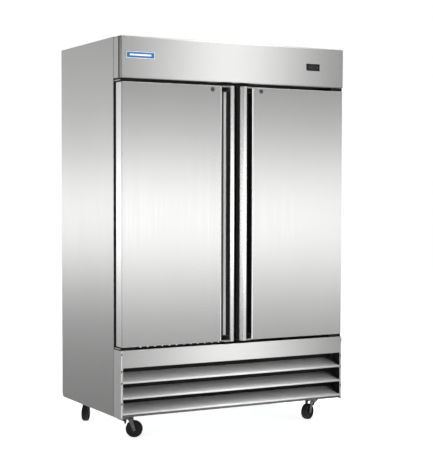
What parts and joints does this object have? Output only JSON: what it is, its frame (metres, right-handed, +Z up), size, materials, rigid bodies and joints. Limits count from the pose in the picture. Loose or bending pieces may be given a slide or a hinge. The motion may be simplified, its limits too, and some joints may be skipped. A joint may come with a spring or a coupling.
{
  "type": "reach-in refrigerator",
  "caption": "Tall stainless reach-in refrigerator with solid hinged doors, vertical full-height pulls, louvred base grille and swivel casters.",
  "frame": {"origin": "on the floor under the middle of the bounding box", "axes": "+Z up, +X to the right seen from the front, doors facing -Y"},
  "size_m": [1.372, 0.836, 2.1],
  "materials": {
    "stainless": "vertical brushed stainless on doors and sides, horizontal on header and grille",
    "galvanised": "galvanised sheet",
    "black_plastic": "fine-grained black moulding",
    "foam": "rigid polyurethane foam",
    "aluminium": "mill finish",
    "display": "black display with a dark bezel",
    "badge": "blank blue plate",
    "black_paint": "black enamel",
    "zinc": "dark zinc plate",
    "wheel_rubber": "black wheel rubber",
    "gasket_rubber": "black magnetic gasket",
    "chrome": "polished lock plug",
    "shelf_wire": "white epoxy-coated wire"
  },
  "bodies": {
    "cabinet": {"side_panel_left": "stainless", "side_panel_right": "stainless", "rear_panel": "galvanised", "cord_gland": "black_plastic", "foam_shell": "foam", "inner_liner": "aluminium", "front_frame": "black_plastic", "top_panel": "stainless", "header_cover": "stainless", "controller": "display", "blank_badge": "badge", "grille_frame": "stainless", "louvre_blade_1": "stainless", "louvre_blade_2": "stainless", "louvre_blade_3": "stainless", "base_pan": "galvanised", "condenser_coil": "aluminium", "condenser_fan_motor": "black_paint", "compressor": "black_paint", "drain_pan": "galvanised", "evaporator_cover": "aluminium", "evaporator_coil": "aluminium", "hinge_top_left": "zinc", "hinge_top_right": "zinc", "hinge_bottom_left": "zinc", "hinge_bottom_right": "zinc", "caster_plate_front_left": "zinc", "caster_plate_front_right": "zinc", "caster_plate_rear_left": "zinc", "caster_plate_rear_right": "zinc"},
    "door_left": {"door_pan_left": "stainless", "door_liner_left": "black_plastic", "meeting_edge_left": "black_plastic", "door_pull_left": "stainless", "gasket_left": "gasket_rubber"},
    "door_right": {"door_pan_right": "stainless", "door_liner_right": "black_plastic", "meeting_edge_right": "black_plastic", "door_pull_right": "stainless", "gasket_right": "gasket_rubber"},
    "lock_left": {"lock_plug_left": "chrome"},
    "lock_right": {"lock_plug_right": "chrome"},
    "shelf_left_1": {"shelf_left_1": "shelf_wire"},
    "shelf_left_2": {"shelf_left_2": "shelf_wire"},
    "shelf_left_3": {"shelf_left_3": "shelf_wire"},
    "shelf_right_1": {"shelf_right_1": "shelf_wire"},
    "shelf_right_2": {"shelf_right_2": "shelf_wire"},
    "shelf_right_3": {"shelf_right_3": "shelf_wire"},
    "condenser_fan": {"condenser_fan_blade": "aluminium"},
    "evaporator_fan": {"evaporator_fan_blade": "aluminium"},
    "swivel_front_left": {"caster_fork_front_left": "zinc"},
    "wheel_front_left": {"caster_wheel_front_left": "wheel_rubber"},
    "brake_front_left": {"brake_pedal_front_left": "black_plastic"},
    "swivel_front_right": {"caster_fork_front_right": "zinc"},
    "wheel_front_right": {"caster_wheel_front_right": "wheel_rubber"},
    "brake_front_right": {"brake_pedal_front_right": "black_plastic"},
    "swivel_rear_left": {"caster_fork_rear_left": "zinc"},
    "wheel_rear_left": {"caster_wheel_rear_left": "wheel_rubber"},
    "swivel_rear_right": {"caster_fork_rear_right": "zinc"},
    "wheel_rear_right": {"caster_wheel_rear_right": "wheel_rubber"}
  },
  "joints": [
    {"name": "door_left_hinge", "type": "hinge", "parent": "cabinet", "child": "door_left", "pos_m": [-0.66, -0.374, 1.182], "axis": [0, 0, -1], "range_deg": [0, 115], "stiffness_Nm_per_rad": 3, "springref_deg": -20.05},
    {"name": "door_right_hinge", "type": "hinge", "parent": "cabinet", "child": "door_right", "pos_m": [0.66, -0.374, 1.182], "axis": [0, 0, 1], "range_deg": [0, 115], "stiffness_Nm_per_rad": 3, "springref_deg": -20.05},
    {"name": "lock_left_turn", "type": "hinge", "parent": "door_left", "child": "lock_left", "pos_m": [-0.1495, -0.388, 1.8455], "axis": [0, -1, 0], "range_deg": [0, 90]},
    {"name": "lock_right_turn", "type": "hinge", "parent": "door_right", "child": "lock_right", "pos_m": [0.1495, -0.388, 1.8455], "axis": [0, 1, 0], "range_deg": [0, 90]},
    {"name": "shelf_left_1_lift", "type": "slide", "parent": "cabinet", "child": "shelf_left_1", "axis": [0, 0, 1], "range_m": [0, 0.025]},
    {"name": "shelf_left_2_lift", "type": "slide", "parent": "cabinet", "child": "shelf_left_2", "axis": [0, 0, 1], "range_m": [0, 0.025]},
    {"name": "shelf_left_3_lift", "type": "slide", "parent": "cabinet", "child": "shelf_left_3", "axis": [0, 0, 1], "range_m": [0, 0.025]},
    {"name": "shelf_right_1_lift", "type": "slide", "parent": "cabinet", "child": "shelf_right_1", "axis": [0, 0, 1], "range_m": [0, 0.025]},
    {"name": "shelf_right_2_lift", "type": "slide", "parent": "cabinet", "child": "shelf_right_2", "axis": [0, 0, 1], "range_m": [0, 0.025]},
    {"name": "shelf_right_3_lift", "type": "slide", "parent": "cabinet", "child": "shelf_right_3", "axis": [0, 0, 1], "range_m": [0, 0.025]},
    {"name": "condenser_fan_spin", "type": "hinge", "parent": "cabinet", "child": "condenser_fan", "pos_m": [-0.24, -0.211, 0.292], "axis": [0, 1, 0], "continuous": true},
    {"name": "evaporator_fan_spin", "type": "hinge", "parent": "cabinet", "child": "evaporator_fan", "pos_m": [0, 0.086, 1.948], "axis": [0, 1, 0], "continuous": true},
    {"name": "swivel_front_left_turn", "type": "hinge", "parent": "cabinet", "child": "swivel_front_left", "pos_m": [-0.576, -0.25, 0.118], "axis": [0, 0, 1], "continuous": true},
    {"name": "wheel_front_left_roll", "type": "hinge", "parent": "swivel_front_left", "child": "wheel_front_left", "pos_m": [-0.54714, -0.266, 0.045], "axis": [0.4848, 0.8746, 0], "continuous": true},
    {"name": "brake_front_left_press", "type": "hinge", "parent": "swivel_front_left", "child": "brake_front_left", "pos_m": [-0.58825, -0.24321, 0.088], "axis": [-0.4848, -0.8746, 0], "range_deg": [0, 14]},
    {"name": "swivel_front_right_turn", "type": "hinge", "parent": "cabinet", "child": "swivel_front_right", "pos_m": [0.576, -0.25, 0.118], "axis": [0, 0, 1], "continuous": true},
    {"name": "wheel_front_right_roll", "type": "hinge", "parent": "swivel_front_right", "child": "wheel_front_right", "pos_m": [0.5454, -0.26236, 0.045], "axis": [0.3746, -0.9272, 0], "continuous": true},
    {"name": "brake_front_right_press", "type": "hinge", "parent": "swivel_front_right", "child": "brake_front_right", "pos_m": [0.58898, -0.24476, 0.088], "axis": [-0.3746, 0.9272, 0], "range_deg": [0, 14]},
    {"name": "swivel_rear_left_turn", "type": "hinge", "parent": "cabinet", "child": "swivel_rear_left", "pos_m": [-0.576, 0.311, 0.118], "axis": [0, 0, 1], "continuous": true},
    {"name": "wheel_rear_left_roll", "type": "hinge", "parent": "swivel_rear_left", "child": "wheel_rear_left", "pos_m": [-0.59586, 0.28464, 0.045], "axis": [0.7986, -0.6018, 0], "continuous": true},
    {"name": "swivel_rear_right_turn", "type": "hinge", "parent": "cabinet", "child": "swivel_rear_right", "pos_m": [0.576, 0.311, 0.118], "axis": [0, 0, 1], "continuous": true},
    {"name": "wheel_rear_right_roll", "type": "hinge", "parent": "swivel_rear_right", "child": "wheel_rear_right", "pos_m": [0.5925, 0.28242, 0.045], "axis": [0.866, 0.5, 0], "continuous": true}
  ]
}
